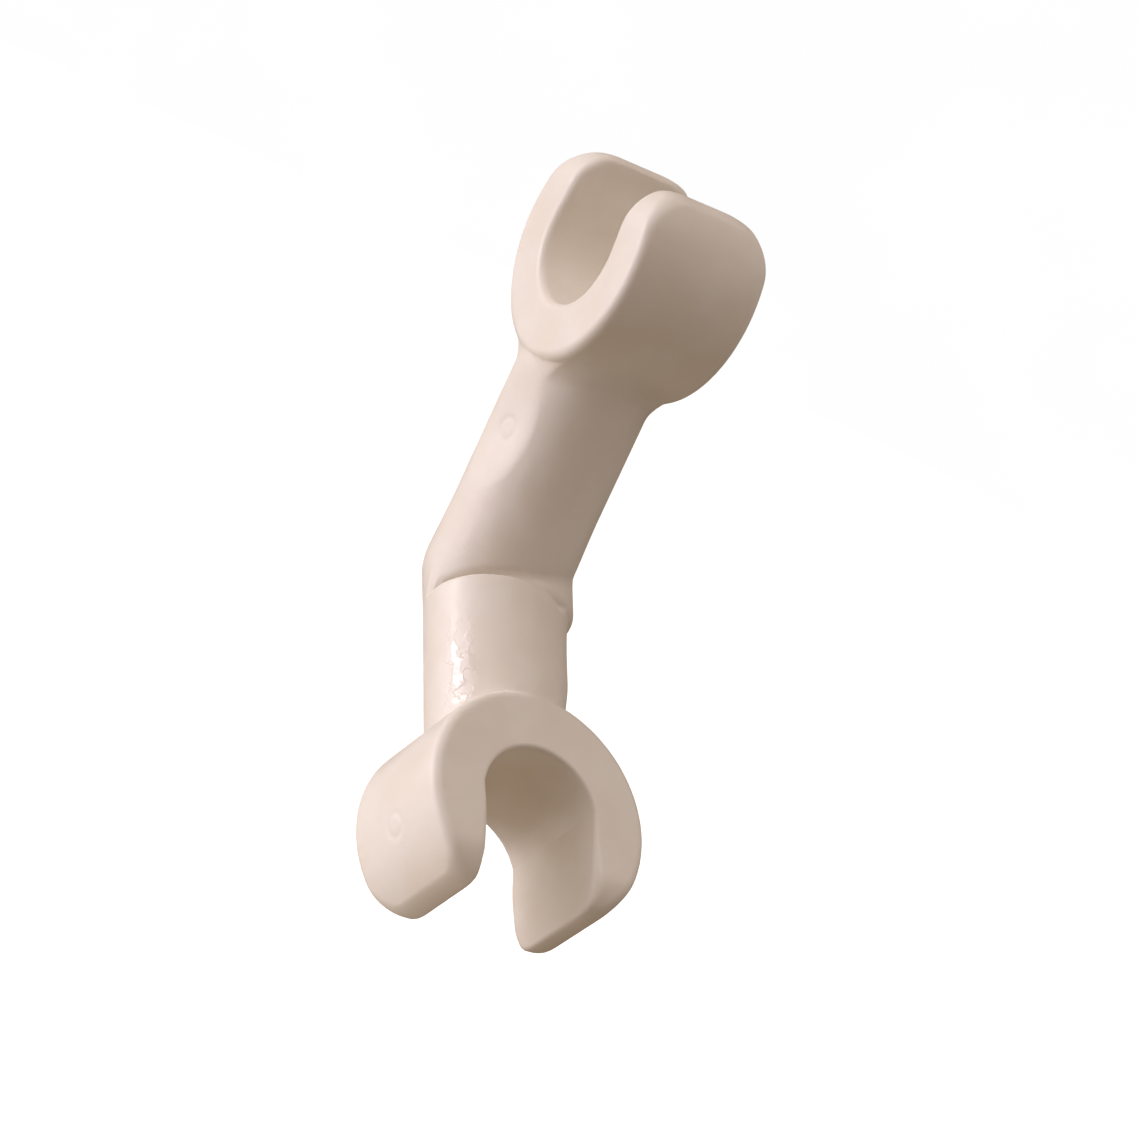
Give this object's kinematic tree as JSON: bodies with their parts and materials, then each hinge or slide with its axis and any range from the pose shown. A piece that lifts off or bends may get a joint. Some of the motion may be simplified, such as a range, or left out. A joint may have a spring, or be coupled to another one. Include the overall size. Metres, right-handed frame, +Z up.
{
  "type": "clip-on toy figure arm",
  "caption": "Bent round toy-figure arm with a springy snap clip at each end: the shoulder clip grips a bar, and the hand clip is turned a quarter turn to it.",
  "frame": {"origin": "middle of the shoulder clip's bore", "axes": "+X along the bar that the shoulder clip grips, +Z up along the upper arm towards that clip's mouth, -Y forward, the way the forearm bends"},
  "size_m": [0.006, 0.0111, 0.0179],
  "materials": {
    "arm_plastic": "satin to glossy moulded plastic, warm white"
  },
  "bodies": {
    "arm": {"arm_body": "arm_plastic"},
    "shoulder_front": {"shoulder_jaw_front": "arm_plastic"},
    "shoulder_rear": {"shoulder_jaw_rear": "arm_plastic"},
    "hand_right": {"hand_jaw_right": "arm_plastic"},
    "hand_left": {"hand_jaw_left": "arm_plastic"}
  },
  "joints": [
    {"name": "shoulder_jaw_front_flex", "type": "hinge", "parent": "arm", "child": "shoulder_front", "pos_m": [0, -0.00206, -0.00109], "axis": [1, 0, 0], "range_deg": [0, 5], "stiffness_Nm_per_rad": 0.00006},
    {"name": "shoulder_jaw_rear_flex", "type": "hinge", "parent": "arm", "child": "shoulder_rear", "pos_m": [0, 0.00206, -0.00109], "axis": [-1, 0, 0], "range_deg": [0, 5], "stiffness_Nm_per_rad": 0.00006},
    {"name": "hand_jaw_right_flex", "type": "hinge", "parent": "arm", "child": "hand_right", "pos_m": [0.00205, -0.00477, -0.01264], "axis": [0, -0.6521, 0.7581], "range_deg": [0, 5], "stiffness_Nm_per_rad": 0.00006},
    {"name": "hand_jaw_left_flex", "type": "hinge", "parent": "arm", "child": "hand_left", "pos_m": [-0.00205, -0.00477, -0.01264], "axis": [0, 0.6521, -0.7581], "range_deg": [0, 5], "stiffness_Nm_per_rad": 0.00006}
  ],
  "couplings": [
    {"joint": "shoulder_jaw_rear_flex", "follows": "shoulder_jaw_front_flex", "ratio": 1},
    {"joint": "hand_jaw_left_flex", "follows": "hand_jaw_right_flex", "ratio": 1}
  ]
}
